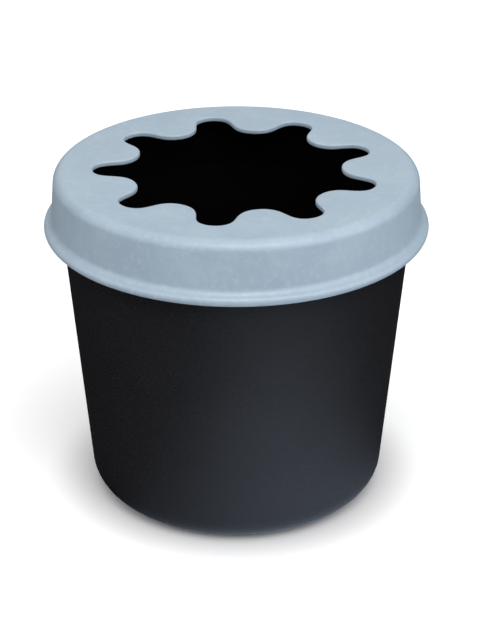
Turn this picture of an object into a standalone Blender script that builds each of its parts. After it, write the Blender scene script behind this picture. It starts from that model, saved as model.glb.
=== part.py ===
"""Round cup with a soft slip-on lid.

The cup is a tapered plastic tumbler.  The lid is one rubber moulding: a flat plate with a skirt that
slips over the cup's rim, and a wavy opening whose nine lobes are fingers that bend up or down.  Each
finger is a piece of its own here, split from the lid along the line on which it bends.

Metres, +Z up.  The origin is the centre of the foot, on the table.
"""
import math

import bmesh
import bpy
import numpy as np

MM = 0.001

# --- Cup -------------------------------------------------------------------------------------------
CUP_BASE_RADIUS = 42.7 * MM             # the wall's outer line, carried down to the table
CUP_HEIGHT = 96.9 * MM                  # table to the top of the rim
CUP_TAPER = math.radians(5.0)           # lean of the wall from upright
CUP_WALL = 2.0 * MM
CUP_FLOOR = 2.4 * MM
FOOT_ROUND = 8.5 * MM                   # outer corner between the foot and the wall
FOOT_RING_WIDTH = 2.6 * MM              # flat ring that the cup stands on
FOOT_RECESS = 1.2 * MM                  # the underside inside that ring is this much higher
LID_SEAT_DEPTH = 16.0 * MM              # upright band at the rim that the lid slips over
RIM_BEAD = 0.2 * MM                     # how far the rim's bead stands out of that band
RIM_BEAD_HEIGHT = 2.4 * MM

# --- Lid -------------------------------------------------------------------------------------------
LID_PLATE = 1.5 * MM                    # thickness of the plate and of its fingers
SKIRT_WALL = 1.6 * MM
SKIRT_DEPTH = 17.4 * MM                 # top of the lid to the bottom of its lip
SKIRT_TAPER = math.radians(4.4)
SHOULDER_ROUND = 3.0 * MM               # outer corner between the plate and the skirt
SHOULDER_INNER_ROUND = 1.0 * MM
LIP_ROUND = 1.4 * MM                    # radius of the rounded lip round the skirt's edge
LIP_REACH = 2.2 * MM                    # skirt's inner face out to the middle of the lip
FLARE_ROUND = 2.2 * MM                  # hollow curve from the skirt out to the lip

# --- Opening and fingers ---------------------------------------------------------------------------
FINGER_COUNT = 9
OPENING_RADIUS = 35.3 * MM              # midway between the finger tips and the bottoms of the gaps
FINGER_REACH = 5.4 * MM                 # tips and gaps lie this far inside and outside of that
FINGER_WIDTH = 0.022                    # radians: how much wider a finger is than a gap
FINGER_FLANK = 0.031                    # radians: how much steeper its sides are than a plain wave
PLATE_EDGE_INSET = 0.8 * MM             # plate's edge at a finger, inside the line between gap bottoms

# --- Clearances ------------------------------------------------------------------------------------
RIM_CLEARANCE = 0.3 * MM                # skirt to rim bead
LID_SEAT_GAP = 0.3 * MM                 # plate to the top of the rim
HINGE_GAP = 0.3 * MM                    # finger to the plate that carries it

# --- Facets ----------------------------------------------------------------------------------------
CUP_SIDES = 72
FOOT_POINTS = 7                         # points on each of the profiles' arcs
FLOOR_CORNER_POINTS = 5
RIM_POINTS = 5
SHOULDER_POINTS = 5
FLARE_POINTS = 4
LIP_POINTS = 8
INNER_CORNER_POINTS = 3
GAP_POINTS = 4                          # along each half of a gap's bottom
HINGE_POINTS = 3                        # along a finger's bending line, between its ends
TIP_POINTS = 16                         # along each finger's free edge
KNUCKLE_SEGMENTS = 3                    # round each long edge of a finger's root
TURN_STEPS = 4001                       # for finding where the opening's edge crosses a line
CREASE = math.radians(40)               # edges sharper than this are shaded as edges

# --- Colours (linear) and gloss --------------------------------------------------------------------
PLASTIC_COLOUR = (0.016, 0.017, 0.021)
PLASTIC_ROUGHNESS = 0.42
RUBBER_COLOUR = (0.33, 0.43, 0.50)
RUBBER_ROUGHNESS = 0.62

# --- What follows from them ------------------------------------------------------------------------
SEAT_HEIGHT = CUP_HEIGHT - LID_SEAT_DEPTH
SEAT_RADIUS = CUP_BASE_RADIUS + SEAT_HEIGHT * math.tan(CUP_TAPER)
BEAD_RADIUS = SEAT_RADIUS + RIM_BEAD
PLATE_BOTTOM = CUP_HEIGHT + LID_SEAT_GAP
LID_TOP = PLATE_BOTTOM + LID_PLATE
PLATE_MIDDLE = PLATE_BOTTOM + LID_PLATE / 2
LIP_HEIGHT = LID_TOP - SKIRT_DEPTH + LIP_ROUND
FINGER_PITCH = 2 * math.pi / FINGER_COUNT
GAP_BOTTOM_RADIUS = OPENING_RADIUS + FINGER_REACH
PLATE_EDGE = GAP_BOTTOM_RADIUS * math.cos(FINGER_PITCH / 2) - PLATE_EDGE_INSET
KNUCKLE_ROUND = LID_PLATE / 2
KNUCKLE_BEVEL = 0.94 * KNUCKLE_ROUND    # stops just short, so that the two bevels don't meet
HINGE_RADIUS = PLATE_EDGE - HINGE_GAP - KNUCKLE_ROUND


# --- Curves ----------------------------------------------------------------------------------------
def arc(centre, radius, start, end, count):
    """Points (r, z) on a circular arc, from one angle to the other in degrees."""
    angles = np.radians(np.linspace(start, end, count))
    return [(centre[0] + radius * math.cos(a), centre[1] + radius * math.sin(a)) for a in angles]


def opening(turn):
    """The edge of the opening round the finger at +X: turn is 0 at its tip and pi at the gaps."""
    radius = OPENING_RADIUS - FINGER_REACH * np.cos(turn)
    angle = turn / FINGER_COUNT + FINGER_WIDTH * np.sin(turn) + FINGER_FLANK * np.sin(2 * turn)
    return radius * np.cos(angle), radius * np.sin(angle)


def opening_turn_at(distance):
    """The turn at which the opening's edge is this far out along +X."""
    turns = np.linspace(0, math.pi, TURN_STEPS)
    return float(np.interp(distance, opening(turns)[0], turns))


def skirt_inside(height):
    """Radius of the skirt's inner face, which clears the rim's bead and widens downwards."""
    return BEAD_RADIUS + RIM_CLEARANCE + (CUP_HEIGHT - height) * math.tan(SKIRT_TAPER)


def skirt_outside(height):
    return skirt_inside(height) + SKIRT_WALL / math.cos(SKIRT_TAPER)


# --- Mesh helpers ----------------------------------------------------------------------------------
def skin(loops, capped):
    """A closed body through loops of points: its ends are capped, or its last loop joins its first."""
    body = bmesh.new()
    rows = [[body.verts.new(point) for point in loop] for loop in loops]
    pairs = list(zip(rows[:-1], rows[1:]))
    if capped:
        body.faces.new(rows[0])
        body.faces.new(rows[-1])
    else:
        pairs.append((rows[-1], rows[0]))
    for below, above in pairs:
        for i in range(len(below)):
            body.faces.new((below[i - 1], below[i], above[i], above[i - 1]))
    return body


def circles(profile, angles):
    """One loop of points for each (r, z) of the profile."""
    return [[(r * math.cos(a), r * math.sin(a), z) for a in angles] for r, z in profile]


def rubber_or_plastic(name, colour, roughness):
    material = bpy.data.materials.new(name)
    material.use_nodes = True
    shader = material.node_tree.nodes["Principled BSDF"]
    shader.inputs["Base Color"].default_value = (*colour, 1.0)
    shader.inputs["Roughness"].default_value = roughness
    return material


def finish_mesh(body, name, material):
    """Turn the faces outward, shade the round stretches smooth and make the mesh."""
    bmesh.ops.recalc_face_normals(body, faces=body.faces)
    if body.calc_volume(signed=True) < 0:
        bmesh.ops.reverse_faces(body, faces=body.faces)
    mesh = bpy.data.meshes.new(name)
    body.to_mesh(mesh)
    body.free()
    mesh.shade_smooth()
    mesh.set_sharp_from_angle(angle=CREASE)
    mesh.materials.append(material)
    return mesh


def place(name, mesh, location=(0, 0, 0), turn=0.0, parent=None):
    piece = bpy.data.objects.new(name, mesh)
    bpy.context.collection.objects.link(piece)
    piece.location = location
    piece.rotation_euler = (0, 0, turn)
    piece.parent = parent
    return piece


# --- Cup -------------------------------------------------------------------------------------------
def foot_corner(base_radius, round_radius, floor_height, count):
    """A rounded corner from a level floor up into a wall that leans out by the cup's taper."""
    lean = round_radius / math.cos(CUP_TAPER) - round_radius * math.tan(CUP_TAPER)
    wall_here = base_radius + floor_height * math.tan(CUP_TAPER)
    centre = (wall_here - lean, floor_height + round_radius)
    return arc(centre, round_radius, -90, -math.degrees(CUP_TAPER), count)


def cup_profile():
    """Out along the underside, up the outside, over the rim and down the inside."""
    outside = foot_corner(CUP_BASE_RADIUS, FOOT_ROUND, 0, FOOT_POINTS)
    ring_outer = outside[0][0]
    ring_inner = ring_outer - FOOT_RING_WIDTH
    underside = [(ring_inner - FOOT_RECESS, FOOT_RECESS), (ring_inner, 0)]
    rim_inner = SEAT_RADIUS - CUP_WALL
    rim_round = (BEAD_RADIUS - rim_inner) / 2
    rim_centre = ((BEAD_RADIUS + rim_inner) / 2, CUP_HEIGHT - rim_round)
    bead_start = CUP_HEIGHT - RIM_BEAD_HEIGHT
    seat = [(SEAT_RADIUS, SEAT_HEIGHT), (SEAT_RADIUS, bead_start - RIM_BEAD), (BEAD_RADIUS, bead_start)]
    rim = arc(rim_centre, rim_round, 0, 180, RIM_POINTS)
    inner_base = CUP_BASE_RADIUS - CUP_WALL / math.cos(CUP_TAPER)
    floor_height = FOOT_RECESS + CUP_FLOOR
    corner = foot_corner(inner_base, FOOT_ROUND - CUP_WALL, floor_height, FLOOR_CORNER_POINTS)
    inner_seat = SEAT_HEIGHT - CUP_WALL * math.tan(CUP_TAPER / 2)
    return underside + outside + seat + rim + [(rim_inner, inner_seat)] + corner[::-1]


def make_cup():
    angles = np.linspace(0, 2 * math.pi, CUP_SIDES, endpoint=False)
    body = skin(circles(cup_profile(), angles), capped=True)
    plastic = rubber_or_plastic("black_moulded_plastic", PLASTIC_COLOUR, PLASTIC_ROUGHNESS)
    return place("cup_body", finish_mesh(body, "cup_body", plastic))


# --- Lid -------------------------------------------------------------------------------------------
def flare_and_lip():
    """From the skirt's outside through the hollow flare, round the lip, to the skirt's inside."""
    lean = math.degrees(SKIRT_TAPER)
    lip_centre = (skirt_inside(LIP_HEIGHT) + LIP_REACH / math.cos(SKIRT_TAPER), LIP_HEIGHT)
    across = FLARE_ROUND + SKIRT_WALL - LIP_REACH
    along = math.sqrt((FLARE_ROUND + LIP_ROUND) ** 2 - across ** 2)
    meet = math.degrees(math.atan2(along, across))
    flare_centre = (
        lip_centre[0] + across * math.cos(SKIRT_TAPER) - along * math.sin(SKIRT_TAPER),
        lip_centre[1] + across * math.sin(SKIRT_TAPER) + along * math.cos(SKIRT_TAPER),
    )
    flare = arc(flare_centre, FLARE_ROUND, 180 + lean, 180 + lean + meet, FLARE_POINTS)
    lip = arc(lip_centre, LIP_ROUND, lean + meet, lean - 180 + meet / 2, LIP_POINTS)
    inside_height = LIP_HEIGHT + LIP_REACH
    return flare + lip[1:] + [(skirt_inside(inside_height), inside_height)]


def lid_profile():
    """From the flat of the plate over the shoulder, round the lip and back to the plate's underside."""
    lean = math.degrees(SKIRT_TAPER)
    shoulder_height = LID_TOP - SHOULDER_ROUND
    shoulder_centre = skirt_outside(shoulder_height) - SHOULDER_ROUND / math.cos(SKIRT_TAPER)
    shoulder = arc((shoulder_centre, shoulder_height), SHOULDER_ROUND, 90, lean, SHOULDER_POINTS)
    corner_height = PLATE_BOTTOM - SHOULDER_INNER_ROUND
    corner_centre = skirt_inside(corner_height) - SHOULDER_INNER_ROUND / math.cos(SKIRT_TAPER)
    inner_points = INNER_CORNER_POINTS
    corner = arc((corner_centre, corner_height), SHOULDER_INNER_ROUND, lean, 90, inner_points)
    return shoulder + flare_and_lip() + corner


def plate_edge():
    """The plate's own edge, counter-clockwise: a straight bending line at each finger, then the gap."""
    end = opening_turn_at(PLATE_EDGE)
    gap_x, gap_y = opening(np.linspace(end, math.pi, GAP_POINTS + 1))
    hinge_y = np.linspace(-gap_y[0], gap_y[0], HINGE_POINTS + 2)[1:-1]
    x = np.concatenate((gap_x[::-1], np.full(HINGE_POINTS, PLATE_EDGE), gap_x[:-1]))
    y = np.concatenate((-gap_y[::-1], hinge_y, gap_y[:-1]))
    edge = []
    for finger in range(FINGER_COUNT):
        turn = finger * FINGER_PITCH
        edge.extend(zip(x * math.cos(turn) - y * math.sin(turn), x * math.sin(turn) + y * math.cos(turn)))
    return edge


def make_lid(cup, rubber):
    edge = plate_edge()
    angles = np.linspace(0, 2 * math.pi, len(edge), endpoint=False) - FINGER_PITCH / 2
    top = [(x, y, LID_TOP) for x, y in edge]
    bottom = [(x, y, PLATE_BOTTOM) for x, y in edge]
    body = skin([top, *circles(lid_profile(), angles), bottom], capped=False)
    return place("lid_ring", finish_mesh(body, "lid_ring", rubber), parent=cup)


# --- Fingers ---------------------------------------------------------------------------------------
def round_the_knuckle(body):
    """Round the root's two long edges about the bending line, so that it turns clear of the plate."""
    edges = [e for e in body.edges if min(v.co.x for v in e.verts) > KNUCKLE_BEVEL]
    long_edges = [e for e in edges if abs(e.verts[0].co.z - e.verts[1].co.z) < HINGE_GAP]
    bmesh.ops.bevel(
        body, geom=long_edges, offset=KNUCKLE_BEVEL, segments=KNUCKLE_SEGMENTS, profile=0.5, affect="EDGES",
    )


def make_finger_mesh(rubber):
    """One finger about the middle of its bending line, with its tip towards -X."""
    end = opening_turn_at(HINGE_RADIUS + KNUCKLE_ROUND)
    x, y = opening(np.linspace(-end, end, TIP_POINTS + 1))
    outline = list(zip(x - HINGE_RADIUS, y))
    loops = [[(px, py, z) for px, py in outline] for z in (-LID_PLATE / 2, LID_PLATE / 2)]
    body = skin(loops, capped=True)
    round_the_knuckle(body)
    return finish_mesh(body, "lid_finger", rubber)


def make_fingers(lid, rubber):
    mesh = make_finger_mesh(rubber)
    for finger in range(FINGER_COUNT):
        turn = finger * FINGER_PITCH
        hinge = (HINGE_RADIUS * math.cos(turn), HINGE_RADIUS * math.sin(turn), PLATE_MIDDLE)
        place(f"lid_finger_{finger + 1}", mesh, hinge, turn, parent=lid)


def main():
    for leftover in list(bpy.data.objects):
        bpy.data.objects.remove(leftover, do_unlink=True)
    cup = make_cup()
    rubber = rubber_or_plastic("blue_grey_soft_rubber", RUBBER_COLOUR, RUBBER_ROUGHNESS)
    lid = make_lid(cup, rubber)
    make_fingers(lid, rubber)


main()
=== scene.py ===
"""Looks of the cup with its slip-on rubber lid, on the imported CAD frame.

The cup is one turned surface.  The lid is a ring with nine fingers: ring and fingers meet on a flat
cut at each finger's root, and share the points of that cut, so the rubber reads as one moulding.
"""
import math

import bmesh
import bpy
import numpy as np
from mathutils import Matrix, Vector


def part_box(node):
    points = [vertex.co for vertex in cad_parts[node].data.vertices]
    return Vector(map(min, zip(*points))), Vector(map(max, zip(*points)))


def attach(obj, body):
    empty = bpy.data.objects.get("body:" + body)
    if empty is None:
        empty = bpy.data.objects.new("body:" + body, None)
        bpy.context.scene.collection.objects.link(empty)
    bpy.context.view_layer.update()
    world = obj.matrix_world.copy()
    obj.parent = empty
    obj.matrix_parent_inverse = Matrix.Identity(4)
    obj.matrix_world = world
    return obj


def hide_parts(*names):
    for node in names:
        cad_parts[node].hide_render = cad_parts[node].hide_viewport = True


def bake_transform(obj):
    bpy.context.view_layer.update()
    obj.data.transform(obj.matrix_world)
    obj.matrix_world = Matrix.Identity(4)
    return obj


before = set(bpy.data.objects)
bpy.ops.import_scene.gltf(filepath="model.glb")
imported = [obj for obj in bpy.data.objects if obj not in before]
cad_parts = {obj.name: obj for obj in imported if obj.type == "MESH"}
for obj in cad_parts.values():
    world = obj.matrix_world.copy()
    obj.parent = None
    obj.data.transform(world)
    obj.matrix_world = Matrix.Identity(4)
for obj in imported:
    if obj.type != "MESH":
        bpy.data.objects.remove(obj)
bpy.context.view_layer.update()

MM = 0.001

# --- Sizes, from the CAD model ---------------------------------------------------------------------
CUP_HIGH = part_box("cup_body")[1]
RING_LOW, RING_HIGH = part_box("lid_ring")
FINGER_LOW, FINGER_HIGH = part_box("lid_finger_1")

CUP_RIM = CUP_HIGH.z                    # top of the cup's rim
BEAD_RADIUS = CUP_HIGH.x                # rim bead, the cup's widest line
RIM_BEAD = 0.2 * MM
RIM_BEAD_HEIGHT = 2.4 * MM
BEAD_EDGE_ROUND = 0.12 * MM
RIM_FULLNESS = 0.99                     # the rim's rounding, as a share of a full half round
SEAT_RADIUS = BEAD_RADIUS - RIM_BEAD
SEAT_DEPTH = 16.0 * MM                  # upright band at the rim that the lid slips over
SEAT_HEIGHT = CUP_RIM - SEAT_DEPTH
SEAT_ROUND = 0.6 * MM
CUP_LEAN = math.radians(5.0)
CUP_BASE_RADIUS = SEAT_RADIUS - SEAT_HEIGHT * math.tan(CUP_LEAN)
CUP_WALL = 2.0 * MM
FLOOR_TOP = 3.6 * MM
FOOT_ROUND = 8.5 * MM
FOOT_RING_INNER = 32.3 * MM
FOOT_RING_ROUND = 0.4 * MM
FOOT_RECESS = 1.2 * MM                  # the underside inside the foot ring is this much higher
RECESS_ROUND = 0.6 * MM
GATE_RADIUS = 1.3 * MM                  # small mark left by moulding, in the middle of the underside
GATE_DROP = 0.3 * MM
GATE_ROUND = 0.15 * MM

LID_TOP = RING_HIGH.z
LID_PLATE = FINGER_HIGH.z - FINGER_LOW.z
PLATE_BOTTOM = LID_TOP - LID_PLATE
SKIRT_LEAN = math.radians(4.4)
SKIRT_WALL = 1.6 * MM
SKIRT_CLEARANCE = 0.3 * MM
SHOULDER_ROUND = 3.0 * MM
SHOULDER_INNER_ROUND = 1.0 * MM
LIP_ROUND = 1.4 * MM
FLARE_ROUND = 2.2 * MM
LIP_HEIGHT = RING_LOW.z + LIP_ROUND

FINGERS = 9
PITCH = 2 * math.pi / FINGERS
FINGER_REACH = 5.4 * MM
OPENING_RADIUS = FINGER_LOW.x + FINGER_REACH
FINGER_WIDTH = 0.022                    # radians: how much wider a finger is than a gap
FINGER_FLANK = 0.031                    # radians: how much steeper its sides are than a plain wave
PLATE_EDGE_INSET = 0.8 * MM             # the cut, inside the line between the bottoms of the gaps
CUT = (OPENING_RADIUS + FINGER_REACH) * math.cos(PITCH / 2) - PLATE_EDGE_INSET
EDGE_ROUND = 0.45 * MM                  # the opening's moulded edge

# --- Fineness --------------------------------------------------------------------------------------
ARC_STEP = math.radians(7)              # of the roundings in the cup's profile
ARC_POINTS_LEAST = 3
STRAIGHT_STEP = 0.4 * MM                # kept straight at an arc's ends, or less for a small radius
STRAIGHT_SHARE = 0.15
CUP_COLUMNS = 288
SHOULDER_POINTS = 14
FLARE_POINTS = 10
LIP_POINTS = 20
INNER_CORNER_POINTS = 6
INNER_STEP = 0.3 * MM                   # kept straight at both ends of the skirt's inner face
SKIRT_SHARES = (0.06, 0.3, 0.5, 0.7, 0.94)                          # down the skirt's outer face
FLAT_SHARES = (0.06, 0.2, 0.4, 0.6, 0.8, 0.95)                      # out over the plate's flat faces
GAP_POINTS = 22                         # along each half of a gap
CUT_POINTS = 16                         # along a finger's cut
EDGE_POINTS = 7                         # on each quarter round of the opening's edge
CUT_SEARCH = 20001                      # turns tried to find where the edge meets the cut
TURN_STEP = 1e-4                        # to either side of a turn, for the edge's tangent
SWING_TURN = 0.5                        # the rounding swings into the cut's plane over this much turn
LEAST_FACING = 0.3                      # keeps 1 / cos within bounds away from the cut
FINGER_ROWS = 44                        # from a finger's tip to its cut
FINGER_COLUMNS = 14                     # across a finger's flat faces
CREASE = math.radians(50)               # edges sharper than this are shaded as edges
SAME_POINT = 1e-6

# --- Camera and room -------------------------------------------------------------------------------
CAMERA_PLACE = (-0.0089, -0.5108, 0.3072)
CAMERA_AIM = (0.00104, 0, 0.0504)
CAMERA_LENS = 109.36
CAMERA_SENSOR = 36.0
SEEN_WHITE = (1.05, 1.05, 1.05)
GLOWS = (                   # direction, full and no glow at these degrees off it, level, colour
    ((-0.05, -0.06, 1), 30, 76, 1.37, (1.0, 1.0, 1.0)),             # ceiling
    ((-0.1, 1.0, 0.35), 12, 36, 0.35, (1.0, 1.0, 1.0)),             # backdrop
    ((0.10, -1.0, 0.55), 10, 48, 0.15, (1.0, 1.0, 1.0)),            # front
    ((0.9, -0.50, 0.20), 10, 60, 2.4, (0.94, 0.97, 1.0)),           # window on the right
    ((-0.9, -0.32, 0.20), 10, 56, 1.45, (0.97, 0.98, 1.0)),         # fill on the left
)
KEY_PLACE = (0.04, -0.32, 0.48)
KEY_AIM = (0, 0, 0.09)
KEY_SIZE = (0.34, 0.26)
KEY_POWER = 1.25
KEY_COLOUR = (1.0, 0.97, 0.93)
FLOOR_HALF = 6.0
FLOOR_TONES = (0.85, 0.85, 0.85), (0.86, 0.86, 0.86)
# grey of the board in the light it throws back, and the tone of the painted contact shadow round the
# foot
FLOOR_GREY = (0.56, 0.56, 0.57)
FLOOR_ROUGHNESS = 0.9
FLOOR_SPECULAR = 0.1
PAINTED_SHADOW_REACH = 0.040, 0.059               # distances from the axis over which the painted contact shadow fades out
# painted reflection: a cool glow on the floor near the foot, which only reflections in the pieces show
POOL_PLACE = (0.028, -0.074, 0)
POOL_REACH = 0.010, 0.092
POOL_LEVEL = 1.9
POOL_COLOUR = (0.66, 0.80, 1.0, 1.0)

# --- Finishes --------------------------------------------------------------------------------------
RUBBER_TONES = (0.202, 0.263, 0.321), (0.220, 0.283, 0.340)
RUBBER_CLOUD = (0.257, 0.318, 0.371)
RUBBER_BLOOM = (0.292, 0.352, 0.402)
RUBBER_ROUGHNESS = 0.38, 0.46
RUBBER_SPECULAR = 0.55
RUBBER_SHEEN = 0.05
SHEEN_ROUGHNESS = 0.5
RUBBER_WAVE = 1.0 * MM                  # height of the broad unevenness
RUBBER_GRAIN = 0.16 * MM
PLASTIC_ROUGHNESS = 0.46, 0.60
OUTSIDE_TONES = (0.0045, 0.0043, 0.0056), (0.0062, 0.0060, 0.0075)
OUTSIDE_SPECULAR = 0.30
# painted shade: the cup's inside is a darker, less glossy copy of the same black plastic
INSIDE_SHADE_TONES = (0.0006, 0.0006, 0.0009), (0.0010, 0.0010, 0.0014)
INSIDE_SHADE_SPECULAR = 0.04
PLASTIC_GRAIN = 0.22 * MM


# --- Profiles --------------------------------------------------------------------------------------
def arc(centre, radius, start, end, count):
    """Points (r, z) = centre + radius (cos a, sin a), with a evenly from start to end in degrees."""
    a = np.radians(np.linspace(start, end, count))
    return np.stack([centre[0] + radius * np.cos(a), centre[1] + radius * np.sin(a)], axis=1)


def rounded_line(corners):
    """A line through (r, z) corners, each rounded by its own radius.

    At a corner the arc's centre lies on the bisector, radius / sin(half the corner's angle) away, and
    the arc runs between its two tangent points.  A short step of straight line is kept at both ends of
    every arc, so that the flat stretches stay flat when they are shaded.
    """
    points = [corners[0][:2]]
    for before, (r, z, radius), after in zip(corners[:-2], corners[1:-1], corners[2:]):
        here = np.array((r, z))
        back = np.array(before[:2]) - here
        ahead = np.array(after[:2]) - here
        length_back, length_ahead = np.linalg.norm(back), np.linalg.norm(ahead)
        back, ahead = back / length_back, ahead / length_ahead
        half = math.acos(np.clip(back @ ahead, -1, 1)) / 2
        bisector = (back + ahead) / np.linalg.norm(back + ahead)
        centre = here + bisector * radius / math.sin(half)
        tangent = radius / math.tan(half)
        first, last = here + back * tangent - centre, here + ahead * tangent - centre
        start, end = math.atan2(first[1], first[0]), math.atan2(last[1], last[0])
        sweep = (end - start + math.pi) % (2 * math.pi) - math.pi
        count = max(ARC_POINTS_LEAST, round(abs(sweep) / ARC_STEP))
        angles = start + sweep * np.linspace(0, 1, count)
        keep = min(radius * STRAIGHT_SHARE, STRAIGHT_STEP)
        if length_back - tangent > 2 * keep:
            points.append(here + back * (tangent + keep))
        points.extend(centre + radius * np.stack([np.cos(angles), np.sin(angles)], axis=1))
        if length_ahead - tangent > 2 * keep:
            points.append(here + ahead * (tangent + keep))
    points.append(corners[-1][:2])
    return np.array(points)


# --- Meshes ----------------------------------------------------------------------------------------
def make_piece(name, points, faces, material):
    """A piece at the origin.  Merging the doubled points closes its seams and poles."""
    mesh = bpy.data.meshes.new(name)
    mesh.from_pydata(points.tolist(), [], [face.tolist() for face in faces])
    body = bmesh.new()
    body.from_mesh(mesh)
    bmesh.ops.remove_doubles(body, verts=body.verts, dist=SAME_POINT)
    bmesh.ops.recalc_face_normals(body, faces=body.faces)
    if body.calc_volume(signed=True) < 0:
        bmesh.ops.reverse_faces(body, faces=body.faces)
    body.to_mesh(mesh)
    body.free()
    mesh.shade_smooth()
    mesh.set_sharp_from_angle(angle=CREASE)
    mesh.materials.append(material)
    piece = bpy.data.objects.new(name, mesh)
    bpy.context.collection.objects.link(piece)
    return piece


def grid_faces(rows, columns, rows_closed):
    """Quads between neighbours in a grid of points.  Columns join round; rows do if they are closed."""
    row = np.arange(rows if rows_closed else rows - 1)
    i, j = np.meshgrid(row, np.arange(columns), indexing="ij")
    below, right = (i + 1) % rows, (j + 1) % columns
    here, there = i * columns, below * columns
    return np.stack([here + j, here + right, there + right, there + j], axis=-1).reshape(-1, 4)


def full_turn(columns, start=0.0):
    """Angles start + 2 pi n / columns, for n from 0 to columns - 1."""
    return np.linspace(0, 2 * math.pi, columns, endpoint=False) + start


def turned(profile, a):
    """Surface of revolution: (r cos a, r sin a, z) for each profile point (r, z) and each angle a."""
    r, z = profile[:, :1], profile[:, 1:]
    return np.stack([r * np.cos(a), r * np.sin(a), z + 0 * a], axis=-1)


# --- Cup -------------------------------------------------------------------------------------------
def cup_profile():
    """Out under the foot from the gate mark, up the wall, over the rim, and down to the floor inside.

    The wall's radius is base radius + z tan(lean) up to the seat, and the wall's thickness is measured
    square to it, so the inner line lies wall / cos(lean) further in.
    """
    inner_base = CUP_BASE_RADIUS - CUP_WALL / math.cos(CUP_LEAN)
    rim_inner = SEAT_RADIUS - CUP_WALL
    rim_round = (BEAD_RADIUS - rim_inner) / 2 * RIM_FULLNESS
    bead_start = CUP_RIM - RIM_BEAD_HEIGHT
    inner_seat = SEAT_HEIGHT - CUP_WALL * math.tan(CUP_LEAN / 2)
    gate = FOOT_RECESS - GATE_DROP
    return rounded_line([
        (0, gate),
        (GATE_RADIUS, gate, GATE_ROUND),
        (GATE_RADIUS + GATE_DROP, FOOT_RECESS, GATE_ROUND),
        (FOOT_RING_INNER - FOOT_RECESS, FOOT_RECESS, RECESS_ROUND),
        (FOOT_RING_INNER, 0, FOOT_RING_ROUND),
        (CUP_BASE_RADIUS, 0, FOOT_ROUND),
        (SEAT_RADIUS, SEAT_HEIGHT, SEAT_ROUND),
        (SEAT_RADIUS, bead_start - RIM_BEAD, BEAD_EDGE_ROUND),
        (BEAD_RADIUS, bead_start, BEAD_EDGE_ROUND),
        (BEAD_RADIUS, CUP_RIM, rim_round),
        (rim_inner, CUP_RIM, rim_round),
        (rim_inner, inner_seat, SEAT_ROUND),
        (inner_base + FLOOR_TOP * math.tan(CUP_LEAN), FLOOR_TOP, FOOT_ROUND - CUP_WALL),
        (0, FLOOR_TOP),
    ])


def make_cup(outside, inside):
    """The cup.  Faces that look at its axis, or up from its floor, take a darker, less glossy copy of
    the plastic, painted shade inside the cup.
    """
    points = turned(cup_profile(), full_turn(CUP_COLUMNS))
    faces = grid_faces(*points.shape[:2], rows_closed=False)
    cup = make_piece("cup", points.reshape(-1, 3), faces, outside)
    cup.data.materials.append(inside)
    centres = np.empty(len(cup.data.polygons) * 3)
    normals = np.empty_like(centres)
    cup.data.polygons.foreach_get("center", centres)
    cup.data.polygons.foreach_get("normal", normals)
    centres, normals = centres.reshape(-1, 3), normals.reshape(-1, 3)
    inward = (centres * normals)[:, :2].sum(axis=1) < 0
    facing_up = (normals[:, 2] > 0.5) & (centres[:, 2] < SEAT_HEIGHT)
    takes_painted_shade = (inward & (centres[:, 2] > FLOOR_TOP)) | facing_up
    cup.data.polygons.foreach_set("material_index", takes_painted_shade.astype(np.int32))
    return cup


# --- Lid -------------------------------------------------------------------------------------------
def opening(turn):
    """The opening's edge round the finger at +X.

    Radius = opening radius - reach cos(turn).
    Angle = turn / 9 + width sin(turn) + flank sin(2 turn).
    The turn is 0 at the finger's tip and pi at the bottom of a gap.
    """
    radius = OPENING_RADIUS - FINGER_REACH * np.cos(turn)
    angle = turn / FINGERS + FINGER_WIDTH * np.sin(turn) + FINGER_FLANK * np.sin(2 * turn)
    return np.stack([radius * np.cos(angle), radius * np.sin(angle)], axis=-1)


def cut_turn():
    """The turn at which the edge crosses the flat cut between finger and ring."""
    turns = np.linspace(0, math.pi, CUT_SEARCH)
    return float(np.interp(CUT, opening(turns)[:, 0], turns))


def edge_direction(turn):
    """Which way the edge faces at each turn, in plan.

    It is the edge's tangent turned a quarter left.  Near the cut it swings over to +Y, made longer by
    1 / cos of the angle between the two, so that the rounding there lies in the plane of the cut.
    """
    along = opening(turn + TURN_STEP) - opening(turn - TURN_STEP)
    facing = np.stack([-along[:, 1], along[:, 0]], axis=-1)
    facing /= np.linalg.norm(facing, axis=1)[:, None]
    side = np.stack([0 * turn, 1 / np.maximum(facing[:, 1], LEAST_FACING)], axis=-1)
    near = np.clip(1 - np.abs(turn - cut_turn()) / SWING_TURN, 0, 1)[:, None]
    near = near * near * (3 - 2 * near)
    return facing * (1 - near) + side * near


def edge_section():
    """How far in from the edge, as a share of its rounding, and how high.

    It runs over a quarter round, where the inset is 1 - sin a and the drop is radius (1 - cos a),
    down the wall, and under by a quarter round again.
    """
    a = np.linspace(0, math.pi / 2, EDGE_POINTS)
    inset = 1 - np.sin(a)
    drop = EDGE_ROUND * (1 - np.cos(a))
    height = np.concatenate((LID_TOP - drop, PLATE_BOTTOM + drop[::-1]))
    return np.concatenate((inset, inset[::-1])), height


def skirt_inside(height):
    """Radius of the skirt's inner face, which widens downwards by its lean."""
    return BEAD_RADIUS + SKIRT_CLEARANCE + (CUP_RIM - height) * math.tan(SKIRT_LEAN)


def skirt_outside(height):
    """The inner face's radius + wall / cos(lean)."""
    return skirt_inside(height) + SKIRT_WALL / math.cos(SKIRT_LEAN)


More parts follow.
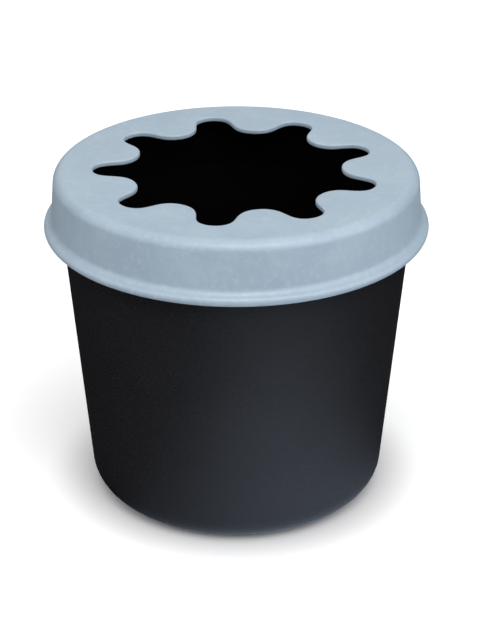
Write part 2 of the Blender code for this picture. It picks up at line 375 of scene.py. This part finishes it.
def lid_profile():
    """From the flat top over the shoulder, down the skirt, round the lip and back under the plate.

    The lip is a circle, and the hollow flare above it is another: it touches the skirt's outer face and
    the lip, so the two centres are flare + lip radius apart.
    """
    lean = math.degrees(SKIRT_LEAN)
    cos_lean, sin_lean = math.cos(SKIRT_LEAN), math.sin(SKIRT_LEAN)
    shoulder_height = LID_TOP - SHOULDER_ROUND
    shoulder_centre = skirt_outside(shoulder_height) - SHOULDER_ROUND / cos_lean
    shoulder = arc((shoulder_centre, shoulder_height), SHOULDER_ROUND, 90, lean, SHOULDER_POINTS)
    lip_centre = np.array((RING_HIGH.x - LIP_ROUND, LIP_HEIGHT))
    lip_reach = (lip_centre[0] - skirt_inside(LIP_HEIGHT)) * cos_lean
    across = FLARE_ROUND + SKIRT_WALL - lip_reach
    along = math.sqrt((FLARE_ROUND + LIP_ROUND) ** 2 - across ** 2)
    meet = math.degrees(math.atan2(along, across))
    outwards, upwards = np.array((cos_lean, sin_lean)), np.array((-sin_lean, cos_lean))
    flare_centre = lip_centre + across * outwards + along * upwards
    flare = arc(flare_centre, FLARE_ROUND, 180 + lean, 180 + lean + meet, FLARE_POINTS)
    lip = arc(lip_centre, LIP_ROUND, lean + meet, lean - 180 + meet / 2, LIP_POINTS)
    skirt_top, skirt_bottom = shoulder[-1], flare[0]
    skirt = skirt_top + (skirt_bottom - skirt_top) * np.array(SKIRT_SHARES)[:, None]
    inside_start = LIP_HEIGHT + lip_reach
    corner_height = PLATE_BOTTOM - SHOULDER_INNER_ROUND
    inside_heights = np.array((inside_start, inside_start + INNER_STEP, corner_height - INNER_STEP))
    inside = np.stack([skirt_inside(inside_heights), inside_heights], axis=-1)
    corner_centre = skirt_inside(corner_height) - SHOULDER_INNER_ROUND / cos_lean
    corner = arc((corner_centre, corner_height), SHOULDER_INNER_ROUND, lean, 90, INNER_CORNER_POINTS)
    return np.concatenate((shoulder, skirt, flare, lip[1:], inside, corner))


def turned_about_z(points, angle):
    """Points turned by an angle about the lid's axis: (x cos - y sin, x sin + y cos, ...)."""
    cos_a, sin_a = math.cos(angle), math.sin(angle)
    out = points.copy()
    out[..., 0] = points[..., 0] * cos_a - points[..., 1] * sin_a
    out[..., 1] = points[..., 0] * sin_a + points[..., 1] * cos_a
    return out


def ring_edge():
    """The ring's inner edge all the way round: its points and its rounding directions, in plan.

    At each finger it is the straight cut, which has no rounding; between fingers it follows the gap.
    """
    gap_turns = np.linspace(cut_turn(), math.pi, GAP_POINTS)
    gap, gap_out = opening(gap_turns), edge_direction(gap_turns)
    end = gap[0, 1] - EDGE_ROUND * gap_out[0, 1]
    straight_y = np.linspace(-end, end, CUT_POINTS)
    straight = np.stack([np.full(CUT_POINTS, CUT), straight_y], axis=-1)
    mirror = np.array((1, -1))
    edge = np.concatenate((gap[::-1] * mirror, straight, gap[:-1]))
    out = np.concatenate((gap_out[::-1] * mirror, straight * 0, gap_out[:-1]))
    edges = [turned_about_z(edge, k * PITCH) for k in range(FINGERS)]
    outs = [turned_about_z(out, k * PITCH) for k in range(FINGERS)]
    return np.concatenate(edges), np.concatenate(outs)


def make_lid_ring(material):
    """The lid's ring as a closed tube of rows.

    The rows run over the plate's top, the turned profile, the plate's underside and its inner edge.
    """
    edge, out = ring_edge()
    angles = full_turn(len(edge), -PITCH / 2)
    circle = np.stack([np.cos(angles), np.sin(angles)], axis=-1)
    profile = lid_profile()

    def flat(z, radius, shares):
        """Rows of a flat face: (1 - s) inner line + s circle of this radius, for each share s."""
        inner = edge - EDGE_ROUND * out
        s = shares[:, None, None]
        plan = inner * (1 - s) + circle * radius * s
        return np.concatenate((plan, np.full(plan.shape[:2] + (1,), z)), axis=-1)

    shares = np.array(FLAT_SHARES)
    top = flat(LID_TOP, profile[0, 0], shares)
    round_part = turned(profile, angles)
    bottom = flat(PLATE_BOTTOM, profile[-1, 0], shares[::-1])
    inset, height = edge_section()
    plan = edge - EDGE_ROUND * inset[:, None, None] * out
    heights = np.broadcast_to(height[:, None, None], plan.shape[:2] + (1,))
    side = np.concatenate((plan, heights), axis=-1)
    points = np.concatenate((side[::-1], top, round_part, bottom))
    faces = grid_faces(*points.shape[:2], rows_closed=True)
    return make_piece("lid", points.reshape(-1, 3), faces, material)


def finger_points():
    """One finger along +X: for each turn from tip to cut, a loop round its section.

    The loop is the edge's section on the right, the underside, the same section mirrored on the left,
    and the top; at the tip right and left fall together.
    """
    turns = cut_turn() * np.linspace(0, 1, FINGER_ROWS)
    edge, out = opening(turns), edge_direction(turns)
    inset, height = edge_section()
    plan = edge[:, None, :] - EDGE_ROUND * inset[None, :, None] * out[:, None, :]
    heights = np.broadcast_to(height[None, :, None], plan.shape[:2] + (1,))
    right = np.concatenate((plan, heights), axis=-1)
    left = right[:, ::-1] * np.array((1, -1, 1))
    share = np.linspace(0, 1, FINGER_COLUMNS)[1:-1][None, :, None]
    under = right[:, -1:] * (1 - share) + left[:, :1] * share
    over = left[:, -1:] * (1 - share) + right[:, :1] * share
    return np.concatenate((right, under, left, over), axis=1)


def make_fingers(material):
    """Nine fingers, one pitch apart; the last row of each is closed by the flat face of its cut."""
    points = finger_points()
    rows, columns = points.shape[:2]
    faces = list(grid_faces(rows, columns, rows_closed=False))
    faces.append(np.arange(columns) + (rows - 1) * columns)
    pieces = []
    for k in range(FINGERS):
        placed = turned_about_z(points, k * PITCH)
        pieces.append(make_piece(f"finger_{k + 1}_rubber", placed.reshape(-1, 3), faces, material))
    return pieces


# --- Materials -------------------------------------------------------------------------------------
def material_with_nodes(name):
    material = bpy.data.materials.new(name)
    material.use_nodes = True
    tree = material.node_tree
    return material, tree, tree.nodes["Principled BSDF"]


def add_noise(tree, coordinates, scale, detail=3.0, roughness=0.5):
    """Noise between 0 and 1, with about this many waves to the metre."""
    noise = tree.nodes.new("ShaderNodeTexNoise")
    noise.inputs["Scale"].default_value = scale
    noise.inputs["Detail"].default_value = detail
    noise.inputs["Roughness"].default_value = roughness
    tree.links.new(coordinates, noise.inputs["Vector"])
    return noise.outputs["Fac"]


def add_range(tree, value, low, high, out_low, out_high):
    node = tree.nodes.new("ShaderNodeMapRange")
    node.inputs["From Min"].default_value = low
    node.inputs["From Max"].default_value = high
    node.inputs["To Min"].default_value = out_low
    node.inputs["To Max"].default_value = out_high
    tree.links.new(value, node.inputs["Value"])
    return node.outputs["Result"]


def add_fade(tree, place, centre, near, far, level):
    """The level within the near distance of a centre, falling smoothly to 0 at the far distance."""
    away = tree.nodes.new("ShaderNodeVectorMath")
    away.operation = "DISTANCE"
    away.inputs[1].default_value = centre
    tree.links.new(place, away.inputs[0])
    fade = add_range(tree, away.outputs["Value"], near, far, level, 0)
    fade.node.interpolation_type = "SMOOTHSTEP"
    return fade


def add_mix(tree, factor, first, second):
    node = tree.nodes.new("ShaderNodeMix")
    node.data_type = "RGBA"
    tree.links.new(factor, node.inputs["Factor"])
    for socket, colour in ((node.inputs["A"], first), (node.inputs["B"], second)):
        if isinstance(colour, tuple):
            socket.default_value = (*colour, 1.0)
        else:
            tree.links.new(colour, socket)
    return node.outputs["Result"]


def add_bump(tree, height, strength, distance, before=None):
    node = tree.nodes.new("ShaderNodeBump")
    node.inputs["Strength"].default_value = strength
    node.inputs["Distance"].default_value = distance
    tree.links.new(height, node.inputs["Height"])
    if before is not None:
        tree.links.new(before, node.inputs["Normal"])
    return node.outputs["Normal"]


def soft_rubber():
    """Pale blue-grey moulded rubber: cloudy tone, fine matte grain, a faint powdery bloom."""
    material, tree, shader = material_with_nodes("blue_grey_soft_rubber")
    place = tree.nodes.new("ShaderNodeTexCoord").outputs["Object"]
    patches = add_noise(tree, place, scale=14, detail=2.0)
    cloud = add_noise(tree, place, scale=70, detail=5.0, roughness=0.62)
    dust = add_noise(tree, place, scale=520, detail=4.0, roughness=0.7)
    broad = add_mix(tree, add_range(tree, patches, 0.35, 0.65, 0, 1), *RUBBER_TONES)
    cloudy = add_mix(tree, add_range(tree, cloud, 0.40, 0.72, 0, 0.55), broad, RUBBER_CLOUD)
    dusty = add_mix(tree, add_range(tree, dust, 0.50, 0.78, 0, 0.50), cloudy, RUBBER_BLOOM)
    tree.links.new(dusty, shader.inputs["Base Color"])
    gloss = add_noise(tree, place, scale=130)
    tree.links.new(add_range(tree, gloss, 0.3, 0.7, *RUBBER_ROUGHNESS), shader.inputs["Roughness"])
    shader.inputs["Specular IOR Level"].default_value = RUBBER_SPECULAR
    shader.inputs["Sheen Weight"].default_value = RUBBER_SHEEN
    shader.inputs["Sheen Roughness"].default_value = SHEEN_ROUGHNESS
    swell = add_noise(tree, place, scale=75)
    wave = add_bump(tree, swell, strength=0.25, distance=RUBBER_WAVE)
    pores = add_noise(tree, place, scale=1500, roughness=0.6)
    grain = add_bump(tree, pores, strength=0.35, distance=RUBBER_GRAIN, before=wave)
    tree.links.new(grain, shader.inputs["Normal"])
    return material


def black_plastic(name, tones, specular):
    """Black moulded plastic with a fine spark-eroded grain, rougher where it stands higher."""
    material, tree, shader = material_with_nodes(name)
    place = tree.nodes.new("ShaderNodeTexCoord").outputs["Object"]
    cloud = add_noise(tree, place, scale=40)
    tone = add_mix(tree, add_range(tree, cloud, 0.3, 0.7, 0, 1), *tones)
    tree.links.new(tone, shader.inputs["Base Color"])
    grain = add_noise(tree, place, scale=1300, roughness=0.65)
    tree.links.new(add_range(tree, grain, 0.3, 0.7, *PLASTIC_ROUGHNESS), shader.inputs["Roughness"])
    shader.inputs["Specular IOR Level"].default_value = specular
    bump = add_bump(tree, grain, strength=0.6, distance=PLASTIC_GRAIN)
    tree.links.new(bump, shader.inputs["Normal"])
    return material


def white_floor():
    """White matte board to the eye, with a painted contact shadow that greys it close round the foot.

    The light that it throws back on the pieces is that of a grey board, and the mirror image of it in
    them is dark but for a cool pool of light near the foot on the right.
    """
    material, tree, shader = material_with_nodes("matte_white_floor")
    material.cycles.emission_sampling = "NONE"
    place = tree.nodes.new("ShaderNodeTexCoord").outputs["Object"]
    cloud = add_noise(tree, place, scale=3, detail=2.0)
    white = add_mix(tree, cloud, *FLOOR_TONES)
    # painted contact shadow: the floor's colour greys towards the cup's foot
    painted_shadow = add_fade(tree, place, (0, 0, 0), *PAINTED_SHADOW_REACH, level=1.0)
    with_painted_shadow = add_mix(tree, painted_shadow, white, FLOOR_GREY)
    path = tree.nodes.new("ShaderNodeLightPath")
    seen = add_mix(tree, path.outputs["Is Camera Ray"], FLOOR_GREY, with_painted_shadow)
    tree.links.new(seen, shader.inputs["Base Color"])
    shader.inputs["Roughness"].default_value = FLOOR_ROUGHNESS
    shader.inputs["Specular IOR Level"].default_value = FLOOR_SPECULAR
    # painted reflection: the floor glows here, though it is no lamp, and only glossy rays see it
    pool = tree.nodes.new("ShaderNodeEmission")
    pool.inputs["Color"].default_value = POOL_COLOUR
    shine = add_fade(tree, place, POOL_PLACE, *POOL_REACH, POOL_LEVEL)
    tree.links.new(shine, pool.inputs["Strength"])
    either = tree.nodes.new("ShaderNodeMixShader")
    tree.links.new(path.outputs["Is Glossy Ray"], either.inputs[0])
    tree.links.new(shader.outputs["BSDF"], either.inputs[1])
    tree.links.new(pool.outputs["Emission"], either.inputs[2])
    tree.links.new(either.outputs["Shader"], tree.nodes["Material Output"].inputs["Surface"])
    return material


# --- Setting ---------------------------------------------------------------------------------------
def make_floor():
    corners = FLOOR_HALF * np.array(((-1, -1, 0), (1, -1, 0), (1, 1, 0), (-1, 1, 0)))
    mesh = bpy.data.meshes.new("floor")
    mesh.from_pydata(corners.tolist(), [], [(0, 1, 2, 3)])
    mesh.materials.append(white_floor())
    floor = bpy.data.objects.new("floor", mesh)
    bpy.context.collection.objects.link(floor)


def aim(thing, at):
    thing.rotation_euler = (Vector(at) - thing.location).to_track_quat("-Z", "Y").to_euler()


def add_softbox(name, location, at, size, power, colour):
    light = bpy.data.lights.new(name, "AREA")
    light.shape = "RECTANGLE"
    light.size, light.size_y = size
    light.energy = power
    light.color = colour
    softbox = bpy.data.objects.new(name, light)
    softbox.location = location
    aim(softbox, at)
    softbox.visible_camera = False
    bpy.context.collection.objects.link(softbox)


def glow_towards(tree, direction, towards, narrow, wide, level):
    """Brightness round one direction: the level inside the narrow angle, none outside the wide one."""
    dot = tree.nodes.new("ShaderNodeVectorMath")
    dot.operation = "DOT_PRODUCT"
    dot.inputs[1].default_value = Vector(towards).normalized()
    tree.links.new(direction, dot.inputs[0])
    outer, inner = math.cos(math.radians(wide)), math.cos(math.radians(narrow))
    fade = add_range(tree, dot.outputs["Value"], outer, inner, 0, level)
    fade.node.interpolation_type = "SMOOTHSTEP"
    return fade


def add_colours(tree, first, second):
    node = tree.nodes.new("ShaderNodeVectorMath")
    tree.links.new(first, node.inputs[0])
    tree.links.new(second, node.inputs[1])
    return node.outputs["Vector"]


def tinted(tree, level, colour):
    node = tree.nodes.new("ShaderNodeVectorMath")
    node.operation = "SCALE"
    node.inputs[0].default_value = colour
    tree.links.new(level, node.inputs["Scale"])
    return node.outputs["Vector"]


def light_the_set():
    """A room that is white to the eye but lights the pieces dimly, and a softbox in front of them."""
    world = bpy.data.worlds.new("studio")
    world.use_nodes = True
    tree = world.node_tree
    background = tree.nodes["Background"]
    direction = tree.nodes.new("ShaderNodeTexCoord").outputs["Generated"]
    glows = [tinted(tree, glow_towards(tree, direction, *glow[:4]), glow[4]) for glow in GLOWS]
    room = glows[0]
    for glow in glows[1:]:
        room = add_colours(tree, room, glow)
    seen = tree.nodes.new("ShaderNodeLightPath").outputs["Is Camera Ray"]
    tree.links.new(add_mix(tree, seen, room, SEEN_WHITE), background.inputs["Color"])
    bpy.context.scene.world = world
    add_softbox("key_softbox", KEY_PLACE, KEY_AIM, KEY_SIZE, KEY_POWER, KEY_COLOUR)


def set_camera():
    data = bpy.data.cameras.new("camera")
    data.lens = CAMERA_LENS
    data.sensor_width = CAMERA_SENSOR
    camera = bpy.data.objects.new("camera", data)
    camera.location = CAMERA_PLACE
    aim(camera, CAMERA_AIM)
    bpy.context.collection.objects.link(camera)
    bpy.context.scene.camera = camera


def main():
    set_camera()
    rubber = soft_rubber()
    outside = black_plastic("black_moulded_plastic", OUTSIDE_TONES, OUTSIDE_SPECULAR)
    inside = black_plastic("black_plastic_inside_painted_shade", INSIDE_SHADE_TONES, INSIDE_SHADE_SPECULAR)
    cup = make_cup(outside, inside)
    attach(cup, "cup")
    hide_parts("cup_body")
    lid = make_lid_ring(rubber)
    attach(lid, "lid")
    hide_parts("lid_ring")
    for k, finger in enumerate(make_fingers(rubber)):
        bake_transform(finger)
        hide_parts(f"lid_finger_{k + 1}")
    make_floor()
    light_the_set()
    bpy.context.scene.view_settings.view_transform = "Standard"


main()
